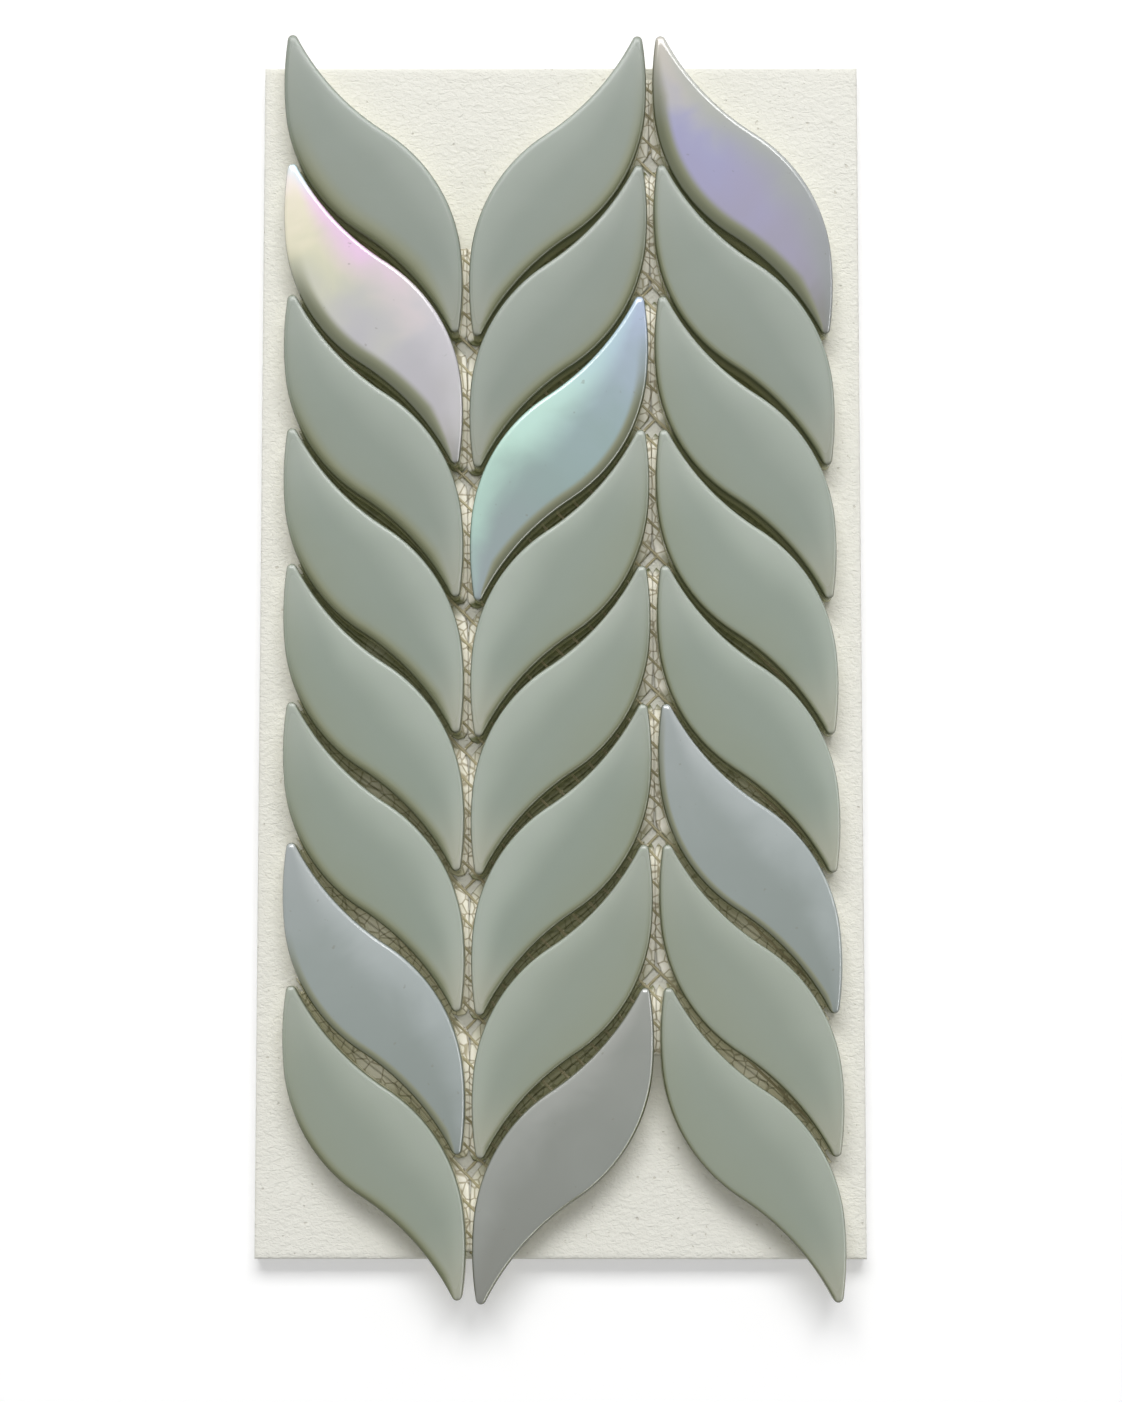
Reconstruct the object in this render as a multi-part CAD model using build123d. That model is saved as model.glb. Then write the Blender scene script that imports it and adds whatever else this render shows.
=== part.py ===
"""Leaf glass mosaic on a sample board.

Three columns of pressed glass leaves are glued to a fibreglass net, and the net is glued to a white
painted board. The board lies flat with its back on Z = 0. Its length runs along Y, and the leaves in the
outer columns fall from upper left to lower right. The origin is the middle of the board's back face.
All sizes are in millimetres, all angles in degrees.
"""

import os
from math import cos, radians, sin

from build123d import *

# Board
BOARD_WIDTH = 153.0
BOARD_LENGTH = 304.8
BOARD_THICKNESS = 6.0
BOARD_EASED_EDGE = 0.6

# One leaf: its upper edge is a hollow arc, a shoulder arc and a side arc, each tangent to the next.
# The lower edge is the same line turned half a turn about the leaf's middle.
TIP_HEADING = 66.0  # how steeply the upper edge leaves the upper tip, below the horizontal
HOLLOW_RADIUS = 66.0
HOLLOW_ANGLE = 33.0
SHOULDER_RADIUS = 42.5
SHOULDER_ANGLE = 52.0
SIDE_RADIUS = 82.0
SIDE_ANGLE = 16.2
TIP_CUT = 3.1  # length taken off each edge where they meet, which leaves the tips blunt
GLASS_THICKNESS = 8.0
ROLL_WIDTH = 1.1  # the fire-polished upper edge, one sloping flat to keep its faces few
ROLL_DROP = 0.9

# How the leaves are laid
COLUMNS = ("left", "middle", "right")
ROWS = 8
COLUMN_JOINT = 1.6
FIRST_ROW_JOINT = 1.0  # the joints open from the top row to the bottom row
LAST_ROW_JOINT = 3.0
COLUMN_SLIPS = (1.0, 0.0, 0.0)  # how far each column slipped up the net
SHEET_SHIFT = -2.4  # the sheet sits this far from the board's middle along Y
SHEET_TURN_ANGLE = 0.35  # and was laid this far off square
CHORD_STEP = 2.5  # spacing of the lines on which a leaf's height is measured

# Net: two layers of parallel yarns, laid on the diagonal
YARN_PITCH = 5.0
YARN_WIDTH = 0.9
YARN_THICKNESS = 0.25
YARN_ANGLE = 45.0
NET_SIDE_INSET = 3.0  # the net is trimmed this far inside the outer columns
NET_TIP_INSET = 8.0  # and this far short of the leaf tips, measured along Y
NET_VALLEY_INSET = 50.0  # where it dips between two leaves that lean together
NET_BOARD_INSET = 1.5  # it also stops this far short of the board's ends
YARN_LEAST_LENGTH = 3.0  # shorter trimmings fall away


def heading(degrees):
    """The unit direction at that angle below the horizontal."""
    return Vector(cos(radians(degrees)), -sin(radians(degrees)))


def leaf_outline():
    """The leaf of the outer columns in plan, with its middle at the origin."""
    hollow = JernArc((0, 0), heading(TIP_HEADING), HOLLOW_RADIUS, HOLLOW_ANGLE)
    shoulder = JernArc(hollow @ 1, hollow % 1, SHOULDER_RADIUS, -SHOULDER_ANGLE)
    side = JernArc(shoulder @ 1, shoulder % 1, SIDE_RADIUS, -SIDE_ANGLE)
    upper_edge = Curve() + [hollow, shoulder, side]
    middle = (side @ 1) * 0.5
    lower_edge = upper_edge.rotate(Axis(middle, (0, 0, 1)), 180)
    sharp = Pos(-middle) * make_face(upper_edge.edges() + lower_edge.edges())
    tips = sharp.vertices().sort_by(Axis.Y)
    return chamfer([tips[0], tips[-1]], TIP_CUT)


def tallest_chord(outline):
    """The largest height of the outline along Y, over evenly spaced lines across it."""
    box = outline.bounding_box()
    count = int(box.size.X / CHORD_STEP)
    heights = []
    for i in range(1, count):
        x = box.min.X + box.size.X * i / count
        line = Edge.make_line((x, box.min.Y - 1), (x, box.max.Y + 1))
        heights.append(sum(chord.length for chord in line.intersect(outline.face())))
    return max(heights)


def leaf_solid(outline):
    """The pressed leaf: flat back, upright walls and a rolled upper edge."""
    leaf = extrude(outline, GLASS_THICKNESS)
    face = leaf.faces().sort_by(Axis.Z)[-1]
    return chamfer(face.edges(), ROLL_WIDTH, ROLL_DROP, reference=face)


def row_centres(leaf_height):
    """The Y of each leaf's middle from the top row down, from the sheet's own middle."""
    centres = [0.0]
    for i in range(ROWS - 1):
        joint = FIRST_ROW_JOINT + (LAST_ROW_JOINT - FIRST_ROW_JOINT) * i / (ROWS - 2)
        centres.append(centres[-1] - leaf_height - joint)
    middle = (centres[0] + centres[-1]) / 2
    return [y - middle for y in centres]


def sheet_place():
    """Where the sheet's own middle lies on the board, and how it is turned."""
    return Pos(0, SHEET_SHIFT) * Rot(0, 0, SHEET_TURN_ANGLE)


def net_outline(half_width, column_pitch, top, bottom):
    """The zigzag line to which the net is trimmed, inside the leaves and inside the board's ends."""
    side = half_width - NET_SIDE_INSET
    valley = column_pitch / 2
    corners = [
        (-side, top - NET_TIP_INSET),
        (-valley, top - NET_VALLEY_INSET),
        (valley, top - NET_TIP_INSET),
        (side, top - NET_VALLEY_INSET),
        (side, bottom + NET_TIP_INSET),
        (valley, bottom + NET_VALLEY_INSET),
        (-valley, bottom + NET_TIP_INSET),
        (-side, bottom + NET_VALLEY_INSET),
    ]
    board = Rectangle(BOARD_WIDTH, BOARD_LENGTH - 2 * NET_BOARD_INSET)
    return (sheet_place() * make_face(Polyline(*corners, close=True))) & board


def yarn_layer(outline, angle, z):
    """One layer of parallel yarns at that angle, trimmed to the outline, with its underside at z."""
    reach = outline.bounding_box().diagonal
    count = int(reach / YARN_PITCH / 2)
    across = [Pos(0, i * YARN_PITCH) * Rectangle(reach, YARN_WIDTH) for i in range(-count, count + 1)]
    trimmed = (Rot(0, 0, angle) * (Sketch() + across)) & outline
    kept = [face for face in trimmed.faces() if face.area > YARN_LEAST_LENGTH * YARN_WIDTH]
    return Pos(0, 0, z) * extrude(Sketch() + kept, YARN_THICKNESS)


def board_solid():
    """The painted board, with all its edges eased."""
    block = Box(BOARD_WIDTH, BOARD_LENGTH, BOARD_THICKNESS, align=(Align.CENTER, Align.CENTER, Align.MIN))
    return chamfer(block.edges(), BOARD_EASED_EDGE)


def build():
    """Every piece by its name."""
    outline = leaf_outline()
    leaf_size = outline.bounding_box().size
    column_pitch = leaf_size.X + COLUMN_JOINT
    rows = row_centres(tallest_chord(outline))
    top = rows[0] + leaf_size.Y / 2
    bottom = rows[-1] - leaf_size.Y / 2
    half_width = column_pitch * (len(COLUMNS) - 1) / 2 + leaf_size.X / 2

    pieces = {"backing_board": board_solid()}
    net = net_outline(half_width, column_pitch, top, bottom)
    rising = YARN_ANGLE + SHEET_TURN_ANGLE
    falling = rising - 90
    pieces["net_yarns_rising"] = yarn_layer(net, rising, BOARD_THICKNESS)
    pieces["net_yarns_falling"] = yarn_layer(net, falling, BOARD_THICKNESS + YARN_THICKNESS)

    leaf = leaf_solid(outline)
    leaning = {True: leaf, False: mirror(leaf, Plane.YZ)}
    seat = BOARD_THICKNESS + 2 * YARN_THICKNESS
    for column, name in enumerate(COLUMNS):
        x = (column - (len(COLUMNS) - 1) / 2) * column_pitch
        for row, y in enumerate(rows):
            place = sheet_place() * Pos(x, y + COLUMN_SLIPS[column], seat)
            pieces[f"leaf_{name}_{row + 1}"] = place * leaning[column % 2 == 0]
    print(f"leaf {leaf_size.X:.2f} x {leaf_size.Y:.2f}, column pitch {column_pitch:.2f}")
    print("row centres", [round(y, 2) for y in rows], f"top {top:.2f} bottom {bottom:.2f}")
    return pieces


os.makedirs("parts", exist_ok=True)
for piece_name, shape in build().items():
    export_step(shape, f"parts/{piece_name}.step")
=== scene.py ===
"""Leaf glass mosaic on a sample board, dressed for the photograph's view.

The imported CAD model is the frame. Every glass leaf, the board and the net are rebuilt here in finer meshes
on the places of their CAD nodes. The part's lengths are written in millimetres and turned into metres by MM,
those of the floor, the lamps and the camera are written in metres.
"""

import math
import random

import bmesh
import bpy
import numpy as np
from mathutils import Matrix, Vector, kdtree, noise


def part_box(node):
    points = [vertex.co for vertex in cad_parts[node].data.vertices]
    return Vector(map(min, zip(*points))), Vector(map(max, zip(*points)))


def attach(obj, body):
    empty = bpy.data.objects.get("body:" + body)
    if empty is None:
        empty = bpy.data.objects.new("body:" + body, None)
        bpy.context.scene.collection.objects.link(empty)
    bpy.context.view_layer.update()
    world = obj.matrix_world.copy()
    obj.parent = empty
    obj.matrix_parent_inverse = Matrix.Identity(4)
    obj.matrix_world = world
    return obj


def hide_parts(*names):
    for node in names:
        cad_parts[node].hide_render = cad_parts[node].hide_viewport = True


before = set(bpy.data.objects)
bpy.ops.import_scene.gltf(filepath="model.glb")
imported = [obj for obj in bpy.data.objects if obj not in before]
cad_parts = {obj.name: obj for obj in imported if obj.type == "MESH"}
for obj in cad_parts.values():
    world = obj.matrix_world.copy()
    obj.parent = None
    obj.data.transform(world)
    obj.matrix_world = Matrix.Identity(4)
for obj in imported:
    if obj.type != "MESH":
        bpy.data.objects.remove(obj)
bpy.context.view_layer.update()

MM = 0.001
BODY = "root"

# Leaf outline and lay of the sheet, as in the CAD source
TIP_HEADING = 66.0
UPPER_ARCS = ((66.0, 33.0), (42.5, -52.0), (82.0, -16.2))  # radius, signed turn
GLASS = 8.0
SHEET_TURN = math.radians(0.35)
SHEET_SHIFT = -2.4

# What the glass has beyond the CAD leaf: round tips and feet, a low crown, rolled edges and the film's sheen
TIP_RADIUS = 1.3
CROWN = (9.0, 0.2, 2.0)  # width from the rim, drop at the rim, power of the curve
SATIN_EDGE = ((1.8, 0.35, 3.0), 0.6)  # shoulder as the crown, radius of the roll
GLOSSY_EDGE = ((1.0, 0.05, 3.0), 1.0)
FOOT_ROUND = 0.45
SHEEN = 0.062  # light that the film of the iridised leaves throws back

# Board and net, as in the CAD source
BOARD = (153.0, 304.8, 6.0)
BOARD_EASE = 0.6
YARN_PITCH = 5.0
YARN_ANGLE = math.radians(45)
YARN_WIDTH = 0.9
YARN_LAYER = 0.25
YARN_LEAST_LENGTH = 3.0
NET_SIDE_INSET = 3.0
NET_TIP_INSET = 8.0
NET_BOARD_INSET = 1.5
NET_END = BOARD[1] / 2 - NET_BOARD_INSET  # no net or glue lies further out along Y

# What the net has beyond the CAD one: deeper notches at its ends, and glue
NET_NOTCH_INSETS = (55.0, 62.5)  # upper and lower end
GLUE_BED = 0.42  # height of the glue round the feet of the leaves

# How the leaves are laid, and how the olive and painted shade of their lower sides and the painted light in
# their joints differ
COLUMNS = ("left", "middle", "right")
ROWS = 8
OLIVE_SHADE_REACH = {"left": 1.45, "middle": 1.0, "right": 0.6}  # how far the olive and painted shade of the lower side reach into the face
OLIVE_SHADE_LEAN = {"left": 0.0, "middle": 0.2, "right": 0.35}  # how much of the olive and painted shade the inner side shows too
JOINT_LIGHT = {"left": 0.75, "middle": 0.2, "right": 0.65}  # how much painted light the joints between the leaves get


# Small helpers for meshes and node trees


def add_mesh(name, points, faces, material, replaced=()):
    """A smooth mesh object from points in metres, riding on the frame."""
    mesh = bpy.data.meshes.new(name)
    mesh.from_pydata([tuple(p) for p in points], [], faces)
    shell = bmesh.new()
    shell.from_mesh(mesh)
    bmesh.ops.recalc_face_normals(shell, faces=shell.faces)
    shell.to_mesh(mesh)
    shell.free()
    mesh.polygons.foreach_set("use_smooth", [True] * len(mesh.polygons))
    mesh.materials.append(material)
    mesh.update()
    piece = bpy.data.objects.new(name, mesh)
    bpy.context.scene.collection.objects.link(piece)
    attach(piece, BODY)
    if replaced:
        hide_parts(*replaced)
    return piece


def add_attribute(piece, name, values):
    """One number for each vertex, for the material to read."""
    layer = piece.data.attributes.new(name, "FLOAT", "POINT")
    layer.data.foreach_set("value", np.asarray(values, dtype=np.float32))


def add_node(tree, kind, inputs=(), **properties):
    """A node with its properties and inputs set. An input is a number, a colour or another output."""
    made = tree.nodes.new("ShaderNode" + kind)
    for key, value in properties.items():
        setattr(made, key, value)
    for key, value in dict(inputs).items():
        if isinstance(value, bpy.types.NodeSocket):
            tree.links.new(value, made.inputs[key])
        else:
            made.inputs[key].default_value = value
    return made


class Shader:
    """A node material with one Principled shader, built by short calls."""

    def __init__(self, name, **settings):
        self.material = bpy.data.materials.new(name)
        self.material.use_nodes = True
        self.tree = self.material.node_tree
        self.tree.nodes.clear()
        self.surface = self.node("BsdfPrincipled")
        self.node("OutputMaterial", {"Surface": self.surface.outputs[0]})
        for socket, value in settings.items():
            self.set(socket.replace("_", " "), value)

    def set(self, socket, value):
        """Sets a socket of the Principled shader to a constant, or links an output to it."""
        target = self.surface.inputs[socket]
        if isinstance(value, bpy.types.NodeSocket):
            self.tree.links.new(value, target)
        else:
            target.default_value = value

    def node(self, kind, inputs=(), **properties):
        return add_node(self.tree, kind, inputs, **properties)

    def attribute(self, name):
        return self.node("Attribute", attribute_name=name).outputs["Fac"]

    def place(self):
        return self.node("TexCoord").outputs["Object"]

    def noise(self, scale, detail=2.0, roughness=0.5, where=None, distortion=0.0):
        """Noise with features of about 1 / scale metres, from 0 to 1."""
        inputs = {"Scale": scale, "Detail": detail, "Roughness": roughness, "Distortion": distortion}
        inputs["Vector"] = where or self.place()
        return self.node("TexNoise", inputs).outputs["Fac"]

    def math(self, operation, a, b):
        return self.node("Math", {0: a, 1: b}, operation=operation).outputs[0]

    def fade(self, value, low, high, start=0.0, end=1.0):
        """A smooth step of value from low to high, mapped to start and end."""
        inputs = {"Value": value, "From Min": low, "From Max": high, "To Min": start, "To Max": end}
        return self.node("MapRange", inputs, interpolation_type="SMOOTHSTEP").outputs["Result"]

    def mix(self, factor, a, b):
        """The colour a where the factor is 0 and b where it is 1. Sockets 6, 7 and 2 hold the colours."""
        return self.node("Mix", {0: factor, 6: a, 7: b}, data_type="RGBA").outputs[2]

    def bands(self, value, stops):
        """A colour that runs smoothly through the stops, pairs of a place from 0 to 1 and a colour."""
        made = self.node("ValToRGB", {"Fac": value})
        ramp = made.color_ramp
        ramp.interpolation = "B_SPLINE"
        while len(ramp.elements) < len(stops):
            ramp.elements.new(0.5)
        for element, (place, colour) in zip(ramp.elements, stops):
            element.position = place
            element.color = colour
        return made.outputs["Color"]

    def bump(self, height, distance, strength, under=None):
        inputs = {"Height": height, "Distance": distance, "Strength": strength}
        if under is not None:
            inputs["Normal"] = under
        return self.node("Bump", inputs).outputs["Normal"]


def rgb(red, green, blue):
    """A colour as written on a screen, 0 to 255, in linear light."""

    def linear(value):
        value /= 255
        return value / 12.92 if value <= 0.04045 else ((value + 0.055) / 1.055) ** 2.4

    return (linear(red), linear(green), linear(blue), 1.0)


def pearl(red, green, blue):
    """The colour under an iridised film, whose sheen brings it up to the colour written."""
    return tuple(max(0.0, value - SHEEN) for value in rgb(red, green, blue)[:3]) + (1.0,)


# Leaf geometry


def upper_edge(step=0.2):
    """Points along the leaf's upper edge from sharp tip to sharp tip, centred on the leaf's middle."""
    point = np.zeros(2)
    heading = -math.radians(TIP_HEADING)
    points = [point]
    for radius, turn in UPPER_ARCS:
        count = int(radius * abs(math.radians(turn)) / step)
        half = math.radians(turn) / count / 2
        chord = 2 * radius * math.sin(abs(half))
        for _ in range(count):
            heading += half
            point = point + chord * np.array((math.cos(heading), math.sin(heading)))
            heading += half
            points.append(point)
    points = np.array(points)
    return points - (points[0] + points[-1]) / 2


def arc_points(centre, start, end, count):
    """Points on the shorter arc from start to end about centre, both included."""
    a = math.atan2(*(start - centre)[::-1])
    b = math.atan2(*(end - centre)[::-1])
    turn = (b - a + math.pi) % (2 * math.pi) - math.pi
    angles = a + turn * np.linspace(0, 1, count)
    radius = np.linalg.norm(start - centre)
    return centre + radius * np.stack((np.cos(angles), np.sin(angles)), axis=1)


def rounded_upper_edge():
    """The upper edge from the middle of one rounded tip to the middle of the other."""
    edge = upper_edge()
    along = np.gradient(edge, axis=0)
    along /= np.linalg.norm(along, axis=1)[:, None]
    inner = edge + TIP_RADIUS * np.stack((along[:, 1], -along[:, 0]), axis=1)
    lower = -edge[::-1]
    near = 80  # the round of the tip touches both edges within so many points
    gaps = np.linalg.norm(inner[:near, None] + inner[::-1][None, :near], axis=2)
    i, j = np.unravel_index(np.argmin(gaps), gaps.shape)
    centre = inner[i]
    tip = centre + TIP_RADIUS * (edge[0] - centre) / np.linalg.norm(edge[0] - centre)
    count = 10
    first = arc_points(centre, tip, edge[i], count)
    last = -arc_points(centre, lower[j], tip, count)
    return np.concatenate((first, edge[i + 1:len(edge) - 1 - j], last))


def resample(line, positions):
    """Points of the line at those fractions of its length."""
    steps = np.linalg.norm(np.diff(line, axis=0), axis=1)
    length = np.concatenate(((0,), np.cumsum(steps)))
    wanted = np.asarray(positions) * length[-1]
    return np.stack([np.interp(wanted, length, line[:, axis]) for axis in (0, 1)], axis=1)


def eased(count, ease):
    """Fractions from 0 to 1 that crowd towards both ends as ease goes from 0 to 1."""
    even = np.linspace(0, 1, count + 1)
    return (1 - ease) * even + ease * (1 - np.cos(math.pi * even)) / 2


def distance_to_line(points, line):
    """How far each point is from an open line of points."""
    start = line[:-1]
    span = np.diff(line, axis=0)
    offset = points[:, None] - start[None]
    share = np.clip((offset * span).sum(axis=2) / np.maximum((span**2).sum(axis=1), 1e-12), 0, 1)
    return np.linalg.norm(offset - share[:, :, None] * span[None], axis=2).min(axis=1)


def leaf_outline(count):
    """The closed outline of the leaf of the outer columns, clockwise from the upper tip."""
    upper = resample(rounded_upper_edge(), np.linspace(0, 1, count + 1))
    return np.concatenate((upper[:-1], -upper[:-1]))


def outward(outline):
    """Unit vectors that point out of a clockwise outline."""
    tangent = np.roll(outline, -1, axis=0) - np.roll(outline, 1, axis=0)
    tangent /= np.linalg.norm(tangent, axis=1)[:, None]
    return np.stack((-tangent[:, 1], tangent[:, 0]), axis=1)


def face_drop(inset, edge):
    """How far the glass has dropped at an inset from the rim: low crown, shoulder, rolled edge."""
    shoulder, radius = edge
    drop = np.zeros(len(inset))
    for width, depth, power in (CROWN, shoulder):
        drop += depth * np.clip(1 - inset / width, 0, 1) ** power
    roll = np.clip(1 - inset / radius, 0, 1)
    return drop + radius * (1 - np.sqrt(1 - roll**2))


def ruled_face(upper, crosswise):
    """The leaf's flat face as lines ruled from the upper to the lower edge, closer together at both edges.

    Gives the points, the place of each along and across the leaf from 0 to 1, the faces and the rim's points.
    """
    lengthwise = len(upper) - 1
    under = -upper[::-1]
    share = eased(crosswise, 0.92)
    flat = [upper[0]]
    along = [0.0]
    across = [0.5]
    for k in range(1, lengthwise):
        for t in share:
            flat.append((1 - t) * upper[k] + t * under[k])
            along.append(k / lengthwise)
            across.append(t)
    flat.append(upper[-1])
    along.append(1.0)
    across.append(0.5)
    last = len(flat) - 1

    def index(k, j):
        if k == 0:
            return 0
        if k == lengthwise:
            return last
        return 1 + (k - 1) * (crosswise + 1) + j

    faces = []
    for k in range(lengthwise):
        for j in range(crosswise):
            corners = [index(k, j), index(k, j + 1), index(k + 1, j + 1), index(k + 1, j)]
            faces.append(tuple(dict.fromkeys(corners)))

    loop = [index(k, 0) for k in range(lengthwise + 1)]
    loop += [index(k, crosswise) for k in range(lengthwise - 1, 0, -1)]
    return np.array(flat), along, across, faces, loop


def leaf_surface(edge, lengthwise=96, crosswise=44):
    """The leaf of the outer columns: points in mm, faces and the numbers the materials read at each point.

    The height of the face follows the distances from both edges, joined so that no ridge shows. Rings below
    the rim make the wall and the rounded foot. The number "lower" is 1 where the side looks down the sheet
    and -1 where it looks up, "inner" the same for the left. "below" is the distance from the lower edge and
    "width" the leaf's own width there.
    """
    upper = resample(rounded_upper_edge(), eased(lengthwise, 0.55))
    flat, along, across, faces, loop = ruled_face(upper, crosswise)
    rim = flat[loop]
    above = distance_to_line(flat, upper)
    below = distance_to_line(flat, -upper[::-1])
    inset = above * below / np.maximum(above + below, 1e-6)
    inset[loop] = 0.0
    height = GLASS - face_drop(inset, edge)
    inward = -outward(rim)
    under_side = range(lengthwise, len(loop))
    nearest = np.linalg.norm(flat[:, None] - rim[None, under_side], axis=2).argmin(axis=1)
    numbers = {"along": along, "across": across, "inset": inset, "below": below, "width": above + below}
    for axis, name in enumerate(("inner", "lower")):
        numbers[name] = inward[under_side][nearest, axis]
        numbers[name][loop] = inward[:, axis]
    numbers = {name: list(values) for name, values in numbers.items()}
    rim_height = GLASS - face_drop(np.zeros(1), edge)[0]
    rings = [(rim_height * share, 0.0) for share in (0.82, 0.6, 0.38)]
    for turn in (0, 30, 60, 90):
        lift = FOOT_ROUND * (1 - math.sin(math.radians(turn)))
        rings.append((lift, FOOT_ROUND * (1 - math.cos(math.radians(turn)))))
    points = [np.column_stack((flat, height))]
    previous = loop
    for level, tuck in rings:
        first = sum(len(block) for block in points)
        ring = rim + tuck * inward
        points.append(np.column_stack((ring, np.full(len(ring), level))))
        current = list(range(first, first + len(ring)))
        for a in range(len(loop)):
            b = (a + 1) % len(loop)
            faces.append((previous[a], previous[b], current[b], current[a]))
        for values in numbers.values():
            values += [values[i] for i in loop]
        previous = current
    size = len(loop)
    # The underside, ruled from edge to edge
    for k in range(lengthwise):
        a, b = previous[k], previous[k + 1]
        c, d = previous[(size - k - 1) % size], previous[(size - k) % size]
        faces.append(tuple(dict.fromkeys((a, b, c, d))))
    return np.concatenate(points), faces, {name: np.array(values) for name, values in numbers.items()}


SATIN_LEAF = leaf_surface(SATIN_EDGE)
GLOSSY_LEAF = leaf_surface(GLOSSY_EDGE)


def on_node(node, points):
    """Places points of the leaf's own frame, in mm, on the place of its CAD node, in metres."""
    low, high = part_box(node)
    middle = Vector(((low.x + high.x) / 2, (low.y + high.y) / 2, low.z))
    turn = Matrix.Rotation(SHEET_TURN, 3, "Z")
    return [turn @ Vector(point * MM) + middle for point in points]


def add_leaf(column, row, shape, material, olive=1.0):
    """One glass leaf on the place of its CAD node, with its own slight unevenness.

    olive is how far the olive and painted shade of its lower side reach into the face, 1 for a satin leaf.
    """
    node = f"leaf_{column}_{row}"
    points, faces, numbers = shape
    points = points.copy()
    seed = 100.0 * COLUMNS.index(column) + 10.0 * row
    depth = GLASS - points[:, 2]
    wave_length = 14
    dent_length = 5
    uneven_depth = 5  # the unevenness fades out down the wall
    for i, point in enumerate(points):
        wave = noise.noise(Vector((point[0] / wave_length + seed, point[1] / wave_length, 0.5)))
        dent = noise.noise(Vector((point[0] / dent_length + seed, point[1] / dent_length, 7.5)))
        point[2] -= max(0.0, 1 - depth[i] / uneven_depth) * (0.06 + 0.05 * wave + 0.012 * dent)
    if column == "middle":
        points[:, 0] *= -1
    piece = add_mesh(f"glass_{node}", on_node(node, points), faces, material, [node])
    for name in ("along", "across", "inset"):
        add_attribute(piece, name, numbers[name])
    add_attribute(piece, "lower", numbers["lower"] + OLIVE_SHADE_LEAN[column] * numbers["inner"])
    add_attribute(piece, "depth", depth)
    tone = (row - 1) / (ROWS - 1) + random.Random(int(seed)).uniform(-0.15, 0.15)
    add_attribute(piece, "tone", np.full(len(points), tone))
    # The olive and painted shade of the lower side, masked by "glow", reach further in the upper rows, but
    # never over the leaf's middle
    reach = olive * OLIVE_SHADE_REACH[column] * (1.9 + 2.7 * max(0.0, 1 - tone) ** 2.5)
    reach = np.minimum(reach, 0.45 * numbers["width"])
    add_attribute(piece, "glow", np.clip(1 - numbers["below"] / np.maximum(reach, 1e-6), 0, 1))
    return piece


# Materials


def edge_tint_and_shade(s, face, warm_span, dark_span):
    """Carries the face colour over the rolled edge into the olive of the sides, and sets the base colour.

    Where the edge looks down the sheet, away from the lamp, a painted shade over the glass's own olive
    spreads over a few millimetres of the face. The spans are the stretches of "glow", the mask of that
    painted shade, from 0 in the face to 1 at the edge, over which it warms and darkens. All round, a thin
    painted shade line marks the top of the side. The sides are painted in a lit and a shaded copy, dark at
    the top and paler towards the foot as painted light. The sides also give off a little painted glow that
    stands for the light that comes in through the face.
    """
    depth = s.attribute("depth")
    glow = s.attribute("glow")
    # Painted shade where the edge looks down the sheet, away from the lamp, over the glass's own olive
    down = s.fade(s.attribute("lower"), 0.1, 0.6)
    warm_shade = s.math("MULTIPLY", s.fade(glow, *warm_span), down)
    dark = s.math("MULTIPLY", s.fade(glow, *dark_span), down)
    # A thin painted shade line at the rim
    line = s.fade(s.attribute("inset"), 0.0, 0.4, 0.7, 0.0)
    face = s.mix(warm_shade, face, rgb(124, 127, 98))
    face = s.mix(dark, face, rgb(80, 85, 52))
    face = s.mix(line, face, rgb(88, 92, 66))
    # Painted lit and shaded copies of the sides: dark at the top, paler towards the foot as painted light
    lit = s.mix(s.fade(depth, 2.2, 4.5), rgb(90, 94, 66), rgb(206, 204, 178))
    shaded = s.mix(s.fade(depth, 2.0, 7.0), rgb(98, 101, 68), rgb(160, 158, 120))
    wall = s.fade(depth, 1.2, 1.8)
    s.set("Base Color", s.mix(wall, face, s.mix(down, lit, shaded)))
    # A painted glow of the sides, standing for light that comes in through the face
    s.set("Emission Color", s.mix(s.fade(depth, 1.2, 3.0), rgb(0, 0, 0), rgb(46, 48, 35)))
    s.set("Emission Strength", 1.0)


def satin_glass():
    """Etched sage glass: even and soft, with painted light that makes it paler to its upper edge and upper
    tip, smoother on the rolled edge.
    """
    s = Shader("satin_sage_glass", IOR=1.5, Subsurface_Weight=0.2, Subsurface_Scale=0.003)
    s.set("Subsurface Radius", (0.9, 1.0, 0.75))
    s.set("Roughness", s.fade(s.attribute("inset"), 0.4, 2.0, 0.22, 0.45))
    drift = s.math("MULTIPLY", s.math("SUBTRACT", s.noise(30, 2.0), 0.5), 0.5)
    across = s.math("ADD", s.attribute("across"), drift)
    along = s.attribute("along")
    # Painted light: the face is paler towards the upper edge and the upper tip, which face the lamp
    face = s.mix(s.fade(across, 0.0, 0.5), rgb(160, 169, 158), rgb(134, 145, 133))
    face = s.mix(s.fade(across, 0.5, 1.0), face, rgb(134, 143, 127))
    face = s.mix(s.fade(along, 0.05, 0.35, 0.65, 0.0), face, rgb(168, 174, 164))
    face = s.mix(s.fade(along, 0.7, 0.97, 0.0, 0.7), face, rgb(176, 174, 156))
    tone = s.attribute("tone")
    face = s.mix(s.fade(tone, 0.0, 0.6, 0.45, 0.0), face, rgb(114, 121, 114))
    face = s.mix(s.fade(tone, 0.5, 1.0, 0.0, 0.25), face, rgb(150, 154, 138))
    edge_tint_and_shade(s, face, (0.0, 0.75), (0.4, 1.0))
    s.set("Normal", s.bump(s.noise(2600, 2.0), 0.00002, 0.25))
    return s.material


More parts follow.
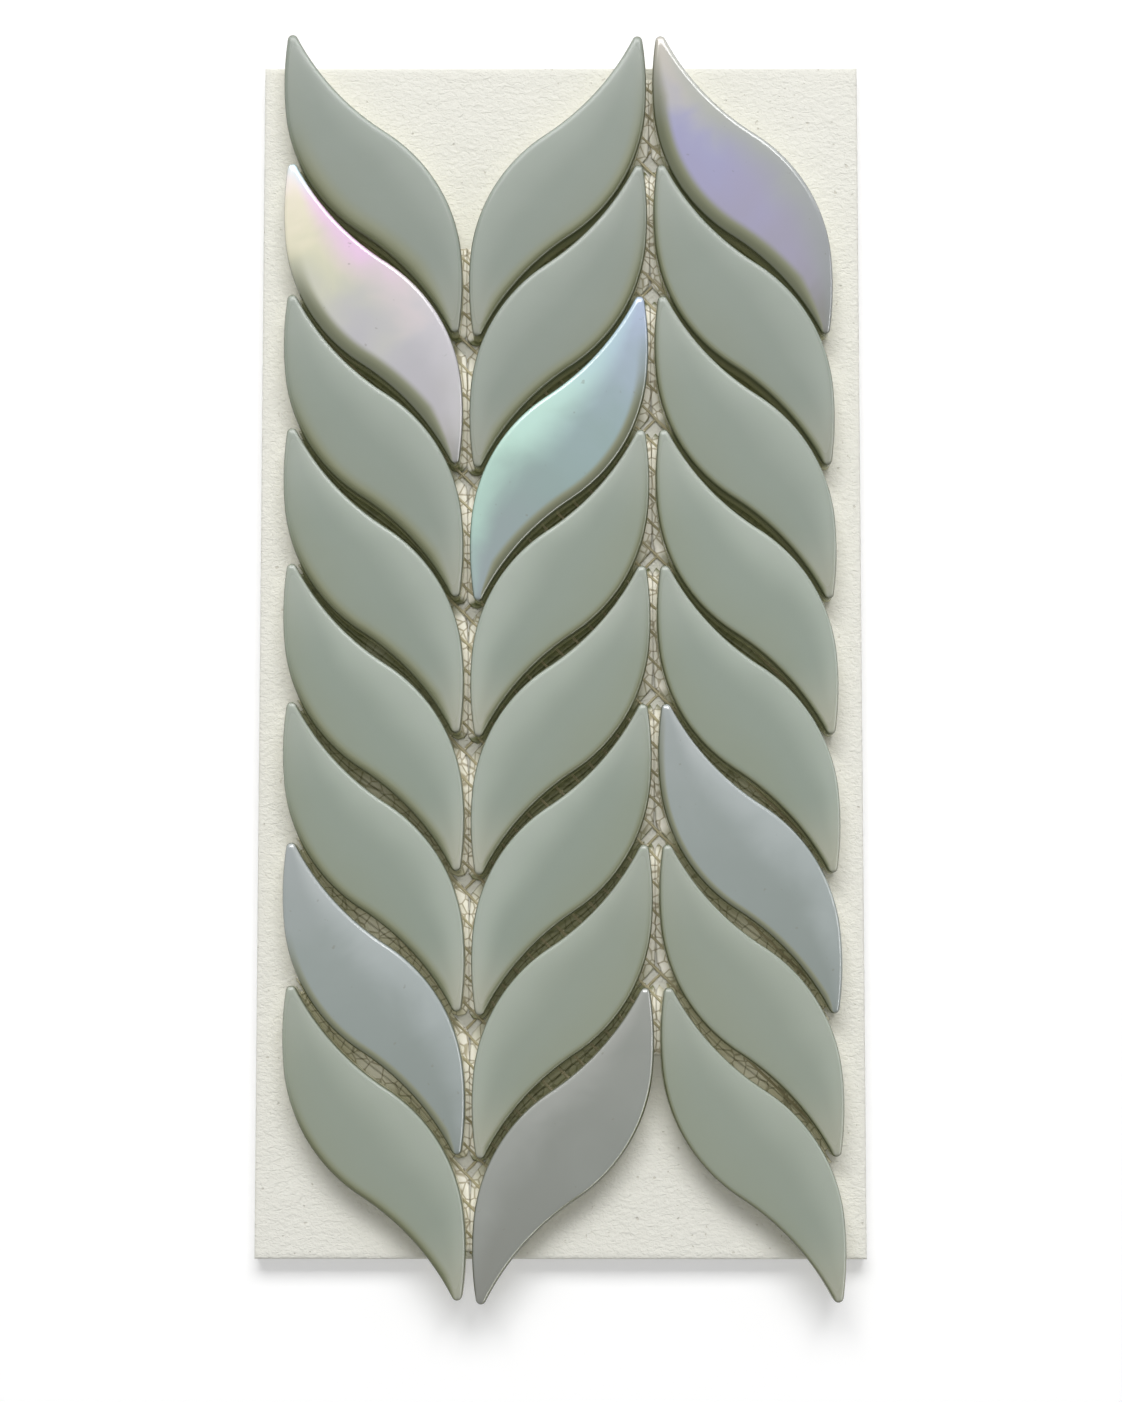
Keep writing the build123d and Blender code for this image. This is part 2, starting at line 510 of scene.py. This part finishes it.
def glossy_glass(name, upper, lower, roughness, density):
    """Iridised glass: a painted pearly tint, standing in for the film's coloured reflections, runs from tip
    to tip along the upper and the lower edge; its palest stops are painted highlight.

    upper and lower are pairs of a place from 0 to 1 and a colour. density is the film's refractive index.
    """
    s = Shader(name, Roughness=roughness, IOR=density)
    drift = s.math("MULTIPLY", s.math("SUBTRACT", s.noise(55, 3.0, distortion=0.4), 0.5), 0.4)
    along = s.math("ADD", s.attribute("along"), drift)
    across = s.math("ADD", s.attribute("across"), drift)
    # Painted tints along the upper and the lower edge, standing in for the film's coloured reflections, with
    # painted highlight in their palest stops
    face = s.mix(s.fade(across, 0.05, 0.55), s.bands(along, upper), s.bands(along, lower))
    speck = s.fade(s.noise(420, 2.0), 0.70, 0.76)
    face = s.mix(s.math("MULTIPLY", speck, 0.35), face, rgb(112, 108, 92))
    edge_tint_and_shade(s, face, (0.1, 0.5), (0.3, 0.8))
    s.set("Normal", s.bump(s.noise(320, 2.0), 0.00004, 0.15))
    return s.material


def board_paint():
    """White paint laid on with a roller: fine leathery stipple, a few pits and specks."""
    s = Shader("white_roller_paint", Roughness=0.8)
    shade = s.noise(18, 3.0)
    colour = s.mix(shade, rgb(226, 225, 215), rgb(231, 230, 222))
    pit = s.fade(s.noise(700, 1.0), 0.73, 0.79)
    colour = s.mix(s.math("MULTIPLY", pit, 0.5), colour, rgb(186, 180, 164))
    s.set("Base Color", colour)
    stretched = s.node("Mapping", {"Vector": s.place(), "Scale": (1.0, 1.5, 1.0)}).outputs[0]
    stipple = s.noise(760, 3.0, 0.55, stretched, 0.6)
    soft = s.bump(s.noise(150, 2.0), 0.0004, 0.7)
    fine = s.bump(stipple, 0.0006, 0.7, soft)
    s.set("Normal", s.bump(pit, -0.0002, 0.7, fine))
    return s.material


def yarn_fibre():
    """Glass-fibre yarn soaked with yellowed glue."""
    s = Shader("glued_glass_fibre", Roughness=0.5)
    s.set("Base Color", s.mix(s.noise(260, 3.0), rgb(158, 148, 112), rgb(196, 188, 158)))
    s.set("Normal", s.bump(s.noise(2200, 2.0), 0.00008, 0.5))
    return s.material


def web_glue():
    """The glue that webs the crossings of the net, dried to a milky beige."""
    s = Shader("milky_glue", Roughness=0.35)
    s.set("Base Color", s.mix(s.noise(240, 2.0), rgb(196, 188, 158), rgb(222, 216, 194)))
    return s.material


def joint_glue_and_shade():
    """The glue bed of the joints, crazed into small cells: cream in the open, painted olive shade between
    close leaves.

    The painted olive shade pales, as painted light, where more light comes into the joint. A little painted
    glow stands for the light that reaches it through the glass.
    """
    s = Shader("joint_glue_and_shade", Roughness=0.35, Emission_Strength=0.12)
    cells = s.node("TexVoronoi", {"Vector": s.place(), "Scale": 330.0}, feature="DISTANCE_TO_EDGE")
    crack = s.fade(cells.outputs["Distance"], 0.01, 0.09, 0.8, 0.0)
    cream = s.mix(crack, rgb(242, 239, 228), rgb(158, 147, 116))
    # Painted shade of the joints: a deep olive, and a paler olive where more light comes in
    deep_shade = s.mix(crack, rgb(112, 115, 78), rgb(92, 95, 62))
    pale = s.mix(crack, rgb(196, 192, 162), rgb(128, 124, 92))
    olive = s.mix(s.attribute("pale"), deep_shade, pale)
    colour = s.mix(s.fade(s.attribute("open"), 0.3, 1.0), olive, cream)
    s.set("Base Color", colour)
    s.set("Emission Color", colour)
    s.set("Normal", s.bump(s.noise(900, 2.0), 0.0001, 0.4))
    return s.material


# Board


def board_steps(span, cells):
    """Places across the board: even cells, with two more lines on the eased edge at either end."""
    half = span / 2
    edge = np.array((half - BOARD_EASE * 0.3, half))
    even = np.linspace(-half + BOARD_EASE, half - BOARD_EASE, cells + 1)
    return np.concatenate((-edge[::-1], even, edge))


def add_board(material):
    """The board as a finely divided slab with eased edges and a slightly uneven painted face."""
    width, length, thickness = BOARD
    xs = board_steps(width, 110)
    ys = board_steps(length, 220)
    row = len(xs)
    points = []
    faces = []
    for side in (1, -1):
        first = len(points)
        for y in ys:
            for x in xs:
                inset = min(width / 2 - abs(x), length / 2 - abs(y), BOARD_EASE)
                drop = BOARD_EASE - math.sqrt(max(0.0, BOARD_EASE**2 - (BOARD_EASE - inset) ** 2))
                uneven = noise.noise(Vector((x / 9, y / 9, side)))
                uneven += 0.5 * noise.noise(Vector((x / 3, y / 3, 5)))
                level = thickness - drop - 0.02 - 0.02 * uneven if side > 0 else drop
                points.append((x * MM, y * MM, level * MM))
        for j in range(len(ys) - 1):
            for i in range(row - 1):
                a = first + j * row + i
                quad = (a, a + 1, a + row + 1, a + row)
                faces.append(quad if side > 0 else quad[::-1])
    count = len(xs) * len(ys)
    loop = list(range(row - 1))
    loop += [j * row + row - 1 for j in range(len(ys) - 1)]
    loop += [count - 1 - i for i in range(row - 1)]
    loop += [(len(ys) - 1 - j) * row for j in range(len(ys) - 1)]
    for a, b in zip(loop, loop[1:] + loop[:1]):
        faces.append((a, count + a, count + b, b)[::-1])
    return add_mesh("painted_board", points, faces, material, ["backing_board"])


# Net


def net_polygon():
    """The corners of the zigzag to which the net is trimmed, in mm on the board."""
    low, high = Vector((1e9,) * 3), Vector((-1e9,) * 3)
    for column in COLUMNS:
        for row in (1, ROWS):
            a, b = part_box(f"leaf_{column}_{row}")
            low = Vector(map(min, low, a))
            high = Vector(map(max, high, b))
    half_width = (high.x - low.x) / 2 / MM
    half_length = (high.y - low.y) / 2 / MM
    turn_allowance = 1.4  # the boxes of the turned leaves reach further out than the sheet's own sides
    side = half_width - NET_SIDE_INSET - turn_allowance
    valley = half_width / 3
    tip = half_length - NET_TIP_INSET
    corners = []
    for hand, inset in zip((1, -1), NET_NOTCH_INSETS):
        dip = half_length - inset
        end = ((-side, tip), (-valley, dip), (valley, tip), (side, dip))
        corners += [(hand * x, hand * y) for x, y in end]
    turn = Matrix.Rotation(SHEET_TURN, 2)
    return [turn @ Vector(c) + Vector((0, SHEET_SHIFT)) for c in corners]


def inside_spans(start, direction, polygon):
    """The stretches of a line inside the polygon and inside the board's ends, as pairs of distances."""
    crossings = []
    for a, b in zip(polygon, polygon[1:] + polygon[:1]):
        side = b - a
        across = direction.x * side.y - direction.y * side.x
        if abs(across) < 1e-9:
            continue
        offset = a - start
        along = (offset.x * side.y - offset.y * side.x) / across
        share = (offset.x * direction.y - offset.y * direction.x) / across
        if 0 <= share < 1:
            crossings.append(along)
    crossings.sort()
    ends = sorted(((NET_END - start.y) / direction.y, (-NET_END - start.y) / direction.y))
    spans = []
    for a, b in zip(crossings[::2], crossings[1::2]):
        a, b = max(a, ends[0]), min(b, ends[1])
        if b - a > YARN_LEAST_LENGTH:
            spans.append((a, b))
    return spans


def yarn_lines(angle, polygon):
    """Every yarn of one layer as (start, direction, first, last)."""
    direction = Vector((math.cos(angle), math.sin(angle)))
    across = Vector((-direction.y, direction.x))
    half_diagonal = 180
    count = int(half_diagonal / YARN_PITCH)
    lines = []
    for i in range(-count, count + 1):
        start = across * (i * YARN_PITCH)
        for first, last in inside_spans(start, direction, polygon):
            lines.append((start, direction, first, last))
    return lines


def add_yarns(name, node, angle, polygon, level, material):
    """One layer of yarns as uneven flat strands."""
    points = []
    faces = []
    sides = 7
    step = 1.15
    half_width = 0.42 * YARN_WIDTH
    half_height = 0.48 * YARN_LAYER
    for number, (start, direction, first, last) in enumerate(yarn_lines(angle, polygon)):
        across = Vector((-direction.y, direction.x))
        count = max(4, int((last - first) / step))
        base = len(points)
        for i in range(count + 1):
            at = first + (last - first) * i / count
            sway = 0.16 * noise.noise(Vector((at / 3.1, number * 3.7, level)))
            swell = 1 + 0.25 * noise.noise(Vector((at / 2.0, number * 5.3, level + 9)))
            centre = start + direction * at + across * sway
            for k in range(sides):
                turn = 2 * math.pi * k / sides
                out = half_width * swell * math.cos(turn)
                up = half_height * math.sin(turn)
                spot = centre + across * out
                points.append((spot.x * MM, spot.y * MM, (level + YARN_LAYER / 2 + up) * MM))
        for i in range(count):
            for k in range(sides):
                a = base + i * sides + k
                b = base + i * sides + (k + 1) % sides
                faces.append((a, a + sides, b + sides, b)[::-1])
        faces.append(tuple(base + k for k in range(sides))[::-1])
        faces.append(tuple(base + count * sides + k for k in range(sides)))
    return add_mesh(name, points, faces, material, [node])


def add_glue(angles, polygon, level, material):
    """Glue webs at the crossings, which round the corners of the net's openings."""
    points = []
    faces = []
    spokes = 20
    top = 0.46
    rings = ((0.55, 0.40), (1.0, 0.03))  # share of the reach, height
    rising = Vector((math.cos(angles[0]), math.sin(angles[0])))
    falling = Vector((math.cos(angles[1]), math.sin(angles[1])))
    rng = random.Random(11)
    for start, _, first, last in yarn_lines(angles[0], polygon):
        offset = start.dot(falling)
        for i in range(math.ceil((first + 1) / YARN_PITCH), math.floor((last - 1) / YARN_PITCH) + 1):
            centre = falling * offset + rising * (i * YARN_PITCH)
            if abs(centre.y) > NET_END - 1:
                continue
            reach = rng.uniform(0.9, 1.35)
            base = len(points)
            points.append((centre.x * MM, centre.y * MM, (level + top) * MM))
            for share, lift in rings:
                for k in range(spokes):
                    turn = 2 * math.pi * k / spokes
                    arm = 0.5 + 0.5 * abs(math.cos(2 * turn)) ** 1.5
                    spot = centre + (rising * math.cos(turn) + falling * math.sin(turn)) * reach * arm * share
                    points.append((spot.x * MM, spot.y * MM, (level + lift) * MM))
            for k in range(spokes):
                n = (k + 1) % spokes
                faces.append((base, base + 1 + n, base + 1 + k))
                faces.append((base + 1 + k, base + 1 + n, base + 1 + spokes + n, base + 1 + spokes + k))
            faces.append(tuple(base + 1 + spokes + k for k in range(spokes)))
    return add_mesh("net_glue", points, faces, material)


def is_inside(point, polygon):
    """Whether a point lies inside the polygon, by counting the sides to its right."""
    crossings = 0
    for a, b in zip(polygon, polygon[1:] + polygon[:1]):
        if (a.y > point.y) != (b.y > point.y):
            crossings += point.x < a.x + (b.x - a.x) * (point.y - a.y) / (b.y - a.y)
    return crossings % 2 == 1


def joint_gaps(outlines):
    """The distance from each point of each outline to the nearest other leaf, up to a widest gap."""
    widest = 7.0
    tree = kdtree.KDTree(sum(len(line) for line, _ in outlines))
    owner = []
    for number, (line, _) in enumerate(outlines):
        for point in line:
            tree.insert((point.x, point.y, 0), len(owner))
            owner.append(number)
    tree.balance()
    gaps = []
    for number, (line, _) in enumerate(outlines):
        for point in line:
            near = tree.find_range((point.x, point.y, 0), widest)
            gaps.append(min([away for _, k, away in near if owner[k] != number], default=widest))
    return gaps


def placed_outlines():
    """The outline of every leaf on the board in mm, each with the directions that point out of it."""
    outlines = []
    line = leaf_outline(110)
    sides = outward(line)
    for column in COLUMNS:
        hand = np.array((-1, 1) if column == "middle" else (1, 1))
        for row in range(1, ROWS + 1):
            flat = np.column_stack((line * hand, np.zeros(len(line))))
            placed = [Vector((p.x / MM, p.y / MM)) for p in on_node(f"leaf_{column}_{row}", flat)]
            outlines.append((placed, [Vector(side * hand) for side in sides]))
    return outlines


def add_glue_film(polygon, material):
    """The bed of squeezed-out glue round the foot of every leaf, inside the net only.

    It fills the joints and thins out where the leaves stand further apart. The attributes "open" and "pale"
    tell the material how wide the joint is and how much light comes into it, which grows down the sheet.
    """
    outlines = placed_outlines()
    lights = [JOINT_LIGHT[column] for column in COLUMNS for _ in range(ROWS)]
    gaps = iter(joint_gaps(outlines))
    points = []
    faces = []
    openings = []
    paleness = []
    size = 4  # points of the bed's section
    thin = 0.03
    pale_fall = 62.5  # how far below the board's middle the olive of a well lit joint has paled
    for light, (line, sides) in zip(lights, outlines):
        previous = None
        for point, side in zip(line, sides):
            gap = next(gaps)
            if not is_inside(point, polygon) or abs(point.y) > NET_END:
                if previous is not None:
                    faces.append(tuple(range(previous, previous + size)))
                previous = None
                continue
            creep = 2.7 + 0.9 * noise.noise(Vector((point.x / 2.2, point.y / 2.2, 3.0)))
            width = min(gap / 2, creep)
            lip = 0.9 * GLUE_BED if gap / 2 < creep else thin
            current = len(points)
            for out, lift in ((-0.6, 0.0), (-0.5, GLUE_BED), (0.75 * width, GLUE_BED), (width, lip)):
                spot = point + side * out
                spot.y = max(-NET_END, min(NET_END, spot.y))
                points.append((spot.x * MM, spot.y * MM, (BOARD[2] + lift) * MM))
            openings += [max(light * (0.4 * gap - 0.6), 6 * abs(side.x) - 5)] * size
            paleness += [min(1.0, light * min(1.6, max(0.0, -point.y / pale_fall)))] * size
            if previous is None:
                faces.append(tuple(range(current, current + size)))
            else:
                for a in range(size):
                    b = (a + 1) % size
                    faces.append((previous + a, previous + b, current + b, current + a))
            previous = current
        if previous is not None:
            faces.append(tuple(range(previous, previous + size)))
    film = add_mesh("glue_film", points, faces, material)
    add_attribute(film, "open", openings)
    add_attribute(film, "pale", paleness)
    return film


# Pieces

# Painted tints of the iridised leaves, standing in for the film's coloured reflections; the palest stops,
# near the tips and along the upper edge, are painted highlight
ROSE_UPPER = (
    (0.00, pearl(210, 242, 252)),
    (0.08, pearl(236, 240, 248)),
    (0.18, pearl(246, 206, 238)),
    (0.34, pearl(230, 200, 228)),
    (0.47, pearl(218, 208, 206)),
    (0.60, pearl(202, 200, 208)),
    (0.80, pearl(200, 198, 198)),
    (1.00, pearl(156, 158, 156)),
)
ROSE_LOWER = (
    (0.00, pearl(226, 246, 250)),
    (0.09, pearl(252, 240, 240)),
    (0.20, pearl(240, 232, 206)),
    (0.35, pearl(208, 210, 184)),
    (0.50, pearl(194, 193, 194)),
    (0.68, pearl(186, 184, 192)),
    (0.85, pearl(186, 183, 182)),
    (1.00, pearl(152, 152, 148)),
)
LAVENDER_UPPER = (
    (0.00, pearl(202, 200, 194)),
    (0.20, pearl(178, 180, 172)),
    (0.45, pearl(168, 172, 168)),
    (0.70, pearl(160, 163, 168)),
    (1.00, pearl(140, 144, 140)),
)
LAVENDER_LOWER = (
    (0.00, pearl(204, 198, 190)),
    (0.22, pearl(198, 194, 180)),
    (0.36, pearl(162, 164, 200)),
    (0.52, pearl(167, 163, 190)),
    (0.75, pearl(163, 160, 173)),
    (1.00, pearl(132, 134, 122)),
)
TEAL_UPPER = (
    (0.00, pearl(188, 208, 228)),
    (0.20, pearl(180, 204, 214)),
    (0.42, pearl(204, 240, 224)),
    (0.75, pearl(168, 196, 186)),
    (1.00, pearl(158, 168, 172)),
)
TEAL_LOWER = (
    (0.00, pearl(184, 200, 224)),
    (0.18, pearl(172, 184, 204)),
    (0.45, pearl(148, 172, 166)),
    (0.75, pearl(150, 164, 164)),
    (1.00, pearl(154, 164, 168)),
)
SILVER_UPPER = (
    (0.00, pearl(180, 185, 184)),
    (0.30, pearl(180, 187, 187)),
    (0.70, pearl(162, 171, 169)),
    (1.00, pearl(142, 149, 146)),
)
SILVER_LOWER = (
    (0.00, pearl(170, 175, 176)),
    (0.40, pearl(150, 160, 156)),
    (1.00, pearl(137, 145, 141)),
)
PEWTER_UPPER = (
    (0.00, pearl(164, 166, 160)),
    (0.35, pearl(166, 168, 163)),
    (0.70, pearl(150, 154, 148)),
    (1.00, pearl(136, 136, 130)),
)
PEWTER_LOWER = (
    (0.00, pearl(160, 162, 156)),
    (0.50, pearl(140, 145, 139)),
    (1.00, pearl(136, 136, 129)),
)
# Colours along the upper and the lower edge, roughness, refractive index, reach of the olive and its painted
# shade
GLOSSY = {
    ("left", 2): (ROSE_UPPER, ROSE_LOWER, 0.14, 1.8, 1.15),
    ("right", 1): (LAVENDER_UPPER, LAVENDER_LOWER, 0.12, 1.75, 1.8),
    ("middle", 3): (TEAL_UPPER, TEAL_LOWER, 0.14, 1.8, 1.25),
    ("right", 6): (SILVER_UPPER, SILVER_LOWER, 0.16, 1.8, 1.7),
    ("left", 7): (SILVER_UPPER, SILVER_LOWER, 0.2, 1.8, 0.95),
    ("middle", 8): (PEWTER_UPPER, PEWTER_LOWER, 0.14, 1.8, 0.5),
}

satin = satin_glass()
for column in COLUMNS:
    for row in range(1, ROWS + 1):
        if (column, row) in GLOSSY:
            *film, olive = GLOSSY[column, row]
            glossy = glossy_glass(f"iridescent_glass_{column}_{row}", *film)
            add_leaf(column, row, GLOSSY_LEAF, glossy, olive)
        else:
            add_leaf(column, row, SATIN_LEAF, satin)

add_board(board_paint())
net = net_polygon()
rising_angle = YARN_ANGLE + SHEET_TURN
falling_angle = -YARN_ANGLE + SHEET_TURN
fibre = yarn_fibre()
add_yarns("net_strands_rising", "net_yarns_rising", rising_angle, net, BOARD[2], fibre)
add_yarns("net_strands_falling", "net_yarns_falling", falling_angle, net, BOARD[2] + YARN_LAYER, fibre)
add_glue((rising_angle, falling_angle), net, BOARD[2], web_glue())
add_glue_film(net, joint_glue_and_shade())


# Stage, light and camera


def add_floor():
    """A white floor that stays white in the picture, also far off, but still takes the object's shadow.

    From below it is clear, so that the board's back can be seen and gets light.
    """
    size = 12.0
    level = -0.0001  # just clear of the board's back
    mesh = bpy.data.meshes.new("floor")
    corners = [(-size, -size, level), (size, -size, level), (size, size, level), (-size, size, level)]
    mesh.from_pydata(corners, [], [(0, 1, 2, 3)])
    mesh.materials.append(floor_paint())
    floor = bpy.data.objects.new("floor", mesh)
    bpy.context.scene.collection.objects.link(floor)


def floor_paint():
    """Pale paint that glows a little where it is seen directly, more so far off, and is clear from below."""
    material = bpy.data.materials.new("white_floor")
    material.use_nodes = True
    tree = material.node_tree
    tree.nodes.clear()
    paint = add_node(tree, "BsdfDiffuse", {"Color": (0.78, 0.78, 0.78, 1)}).outputs[0]
    place = add_node(tree, "TexCoord").outputs["Object"]
    away = add_node(tree, "VectorMath", {0: place}, operation="LENGTH").outputs["Value"]
    fill = {"Value": away, "From Min": 0.5, "From Max": 2.0, "To Min": 0.27, "To Max": 0.8}
    glow = add_node(tree, "Emission", {"Strength": add_node(tree, "MapRange", fill).outputs[0]}).outputs[0]
    both = add_node(tree, "AddShader", {0: paint, 1: glow}).outputs[0]
    above = add_node(tree, "MixShader", {0: seen_directly(tree), 1: paint, 2: both}).outputs[0]
    board_gap = 0.0005  # light from the board's back, just above the floor, passes too
    length = add_node(tree, "LightPath").outputs["Ray Length"]
    short = add_node(tree, "Math", {0: length, 1: board_gap}, operation="LESS_THAN").outputs[0]
    back = add_node(tree, "NewGeometry").outputs["Backfacing"]
    clear = add_node(tree, "Math", {0: short, 1: back}, operation="MAXIMUM").outputs[0]
    through = add_node(tree, "BsdfTransparent").outputs[0]
    surface = add_node(tree, "MixShader", {0: clear, 1: above, 2: through}).outputs[0]
    add_node(tree, "OutputMaterial", {"Surface": surface})
    return material


def seen_directly(tree):
    """1 for camera, glossy and transmission rays, 0 for the rest."""
    path = add_node(tree, "LightPath").outputs
    seen = path["Is Camera Ray"]
    for name in ("Is Glossy Ray", "Is Transmission Ray"):
        seen = add_node(tree, "Math", {0: seen, 1: path[name]}, operation="MAXIMUM").outputs[0]
    return seen


def add_world(strength):
    """Even white light from all round, plain white where it is seen directly or in the glass."""
    world = bpy.data.worlds.new("studio")
    bpy.context.scene.world = world
    world.use_nodes = True
    tree = world.node_tree
    tree.nodes.clear()
    level = {"Value": seen_directly(tree), "To Min": strength, "To Max": 1.0}
    white = {"Color": (1, 1, 1, 1), "Strength": add_node(tree, "MapRange", level).outputs[0]}
    background = add_node(tree, "Background", white).outputs[0]
    add_node(tree, "OutputWorld", {"Surface": background})


def add_light(name, place, size, power):
    """A soft rectangular lamp that points at the board's middle."""
    lamp = bpy.data.lights.new(name, "AREA")
    lamp.shape = "RECTANGLE"
    lamp.size, lamp.size_y = size
    lamp.energy = power
    light = bpy.data.objects.new(name, lamp)
    light.location = place
    light.rotation_euler = (Vector() - Vector(place)).to_track_quat("-Z", "Y").to_euler()
    bpy.context.scene.collection.objects.link(light)
    return light


def add_camera():
    """The photograph's view: from above, a little from the lower end."""
    image_height = 1402  # in pixels, as the focal length and the rise
    focal = 2556.7
    rise = 98.5
    sensor = 36.0
    place = (0.0027, -0.0858, 0.651)
    tilt = math.radians(4.3)
    yaw = math.radians(-0.23)
    level = Vector((1, 0, 0))
    ahead = Vector((0, math.sin(tilt), -math.cos(tilt)))
    up = Vector((0, math.cos(tilt), math.sin(tilt)))
    forward = math.cos(yaw) * ahead + math.sin(yaw) * level
    right = math.cos(yaw) * level - math.sin(yaw) * ahead
    data = bpy.data.cameras.new("camera")
    data.sensor_width = sensor
    data.lens = sensor * focal / image_height
    data.shift_y = rise / image_height
    data.clip_start = 0.01
    camera = bpy.data.objects.new("camera", data)
    rotation = Matrix((right, up, -forward)).transposed()
    camera.matrix_world = Matrix.Translation(place) @ rotation.to_4x4()
    bpy.context.scene.collection.objects.link(camera)
    bpy.context.scene.camera = camera


SURROUND = 0.416  # light of the white surroundings, which the camera itself sees as white

add_floor()
add_world(SURROUND)
add_light("key", (0.0, 1.9, 2.3), (2.4, 1.2), 76.0)
right_strip = add_light("right_strip", (1.3, -0.4, 0.9), (2.4, 0.3), 18.0)
top_strip = add_light("top_strip", (0.0, 1.9, 0.8), (5.0, 0.6), 26.0)
for strip in (right_strip, top_strip):
    strip.visible_diffuse = False  # the strips only draw their lines on the rolled edges
add_camera()
bpy.context.scene.view_settings.view_transform = "Standard"
